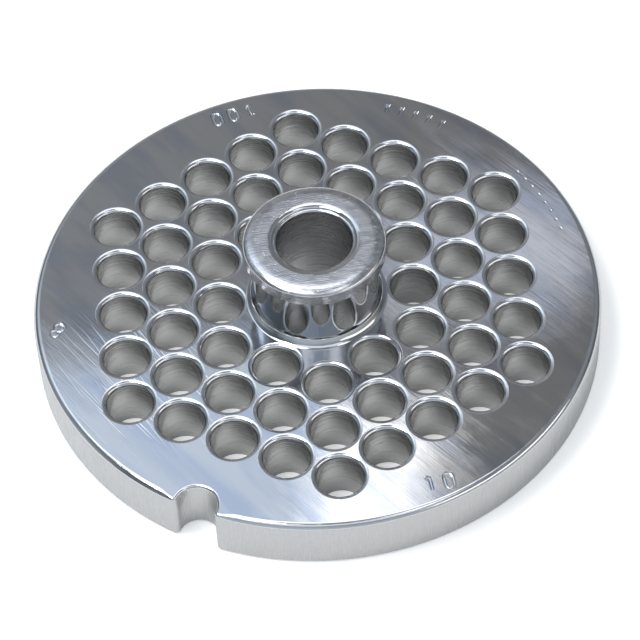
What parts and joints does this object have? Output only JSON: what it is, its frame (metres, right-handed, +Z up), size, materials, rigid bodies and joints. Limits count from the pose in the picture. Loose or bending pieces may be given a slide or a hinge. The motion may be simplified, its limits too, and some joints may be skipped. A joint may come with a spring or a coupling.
{
  "type": "meat grinder plate",
  "caption": "Round steel mincing plate with a grid of drilled holes, a collared central hub with a through bore, and a key notch in the rim.",
  "frame": {"origin": "centre of the plate's flat underside, on the bore axis", "axes": "+Z up the hub along the bore axis; the key notch is on the -Y side"},
  "size_m": [0.1, 0.0998, 0.0252],
  "materials": {
    "stainless": "ground and hand polished stainless steel with fine scratches"
  },
  "bodies": {
    "root": {"grinder_plate": "stainless"}
  },
  "joints": []
}
